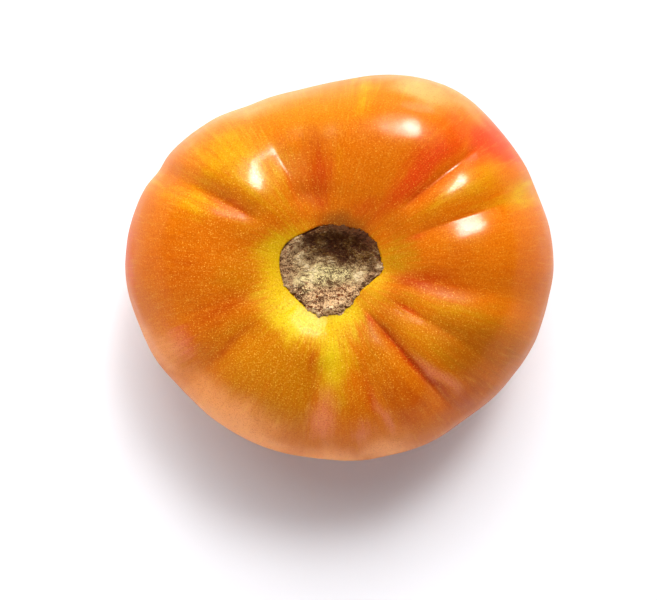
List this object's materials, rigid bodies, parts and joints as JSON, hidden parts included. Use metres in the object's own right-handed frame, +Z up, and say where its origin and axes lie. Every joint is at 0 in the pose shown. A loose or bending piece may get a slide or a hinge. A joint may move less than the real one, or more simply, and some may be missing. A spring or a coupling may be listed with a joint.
{
  "type": "tomato",
  "caption": "Squat lobed beefsteak tomato with shallow furrows, a corky stalk scar in the bowl of its shoulder and a small flat base to rest on.",
  "frame": {"origin": "the middle of the bounding box, on the surface that the tomato rests on", "axes": "+Z up along the stalk's axis, from the blossom end to the stalk scar; +X along the widest way across; +Y the other way across, towards the top of the picture"},
  "size_m": [0.0998, 0.0902, 0.0631],
  "materials": {
    "skin": "smooth waxy skin, orange with a yellow shoulder and red blushes",
    "cork": "dry brown cork, rough and fissured"
  },
  "bodies": {
    "root": {"fruit": "skin", "stem_scar": "cork"}
  },
  "joints": []
}
